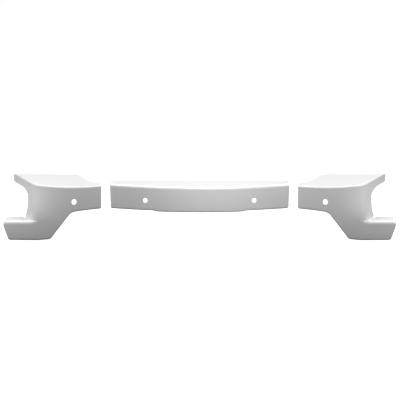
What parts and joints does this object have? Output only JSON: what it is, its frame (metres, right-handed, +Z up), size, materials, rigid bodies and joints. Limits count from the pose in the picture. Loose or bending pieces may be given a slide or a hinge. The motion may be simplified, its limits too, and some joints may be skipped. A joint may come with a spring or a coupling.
{
  "type": "bumper cover",
  "caption": "Three-piece gloss white cover set for a pickup's rear step bumper: a bowed centre and two corners with foot steps and sensor holes, lined with tapes, gaskets and pads.",
  "frame": {"origin": "on the flat back of the centre cover's middle pad, where it rests on the steel bumper", "axes": "+Z up; the outer faces look along -Y, away from the vehicle; +X is to the right as seen from in front of the faces"},
  "size_m": [2.0906, 0.252, 0.312],
  "materials": {
    "gloss_cover": "high gloss moulded plastic, painted white",
    "foam_tape": "matt closed-cell acrylic foam",
    "release_film": "glossy thin red film",
    "sponge": "matt open-cell sponge",
    "rubber_pad": "satin moulded rubber"
  },
  "bodies": {
    "centre": {"centre_cover": "gloss_cover", "centre_end_left_liner": "release_film", "centre_end_left_tape": "foam_tape", "centre_end_right_liner": "release_film", "centre_end_right_tape": "foam_tape", "centre_left_gasket": "sponge", "centre_left_pad": "rubber_pad", "centre_lower_left_liner": "release_film", "centre_lower_left_tape": "foam_tape", "centre_lower_middle_liner": "release_film", "centre_lower_middle_tape": "foam_tape", "centre_lower_right_liner": "release_film", "centre_lower_right_tape": "foam_tape", "centre_middle_pad": "rubber_pad", "centre_right_gasket": "sponge", "centre_right_pad": "rubber_pad", "centre_shelf_left_liner": "release_film", "centre_shelf_left_tape": "foam_tape", "centre_shelf_right_liner": "release_film", "centre_shelf_right_tape": "foam_tape"},
    "left_corner": {"left_corner_arm_liner": "release_film", "left_corner_arm_tape": "foam_tape", "left_corner_cover": "gloss_cover", "left_corner_end_liner": "release_film", "left_corner_end_tape": "foam_tape", "left_corner_gasket": "sponge", "left_corner_lobe_liner": "release_film", "left_corner_lobe_pad": "rubber_pad", "left_corner_lobe_tape": "foam_tape", "left_corner_notch_liner": "release_film", "left_corner_notch_tape": "foam_tape", "left_corner_pad": "rubber_pad", "left_corner_shelf_liner": "release_film", "left_corner_shelf_tape": "foam_tape", "left_corner_sweep_liner": "release_film", "left_corner_sweep_tape": "foam_tape"},
    "right_corner": {"right_corner_arm_liner": "release_film", "right_corner_arm_tape": "foam_tape", "right_corner_cover": "gloss_cover", "right_corner_end_liner": "release_film", "right_corner_end_tape": "foam_tape", "right_corner_gasket": "sponge", "right_corner_lobe_liner": "release_film", "right_corner_lobe_pad": "rubber_pad", "right_corner_lobe_tape": "foam_tape", "right_corner_notch_liner": "release_film", "right_corner_notch_tape": "foam_tape", "right_corner_pad": "rubber_pad", "right_corner_shelf_liner": "release_film", "right_corner_shelf_tape": "foam_tape", "right_corner_sweep_liner": "release_film", "right_corner_sweep_tape": "foam_tape"}
  },
  "joints": [
    {"name": "left_corner_fit", "type": "slide", "parent": "centre", "child": "left_corner", "axis": [0.9037, 0.4281, 0], "range_m": [0, 0.04481]},
    {"name": "right_corner_fit", "type": "slide", "parent": "centre", "child": "right_corner", "axis": [-0.9037, 0.4281, 0], "range_m": [0, 0.04481]}
  ]
}
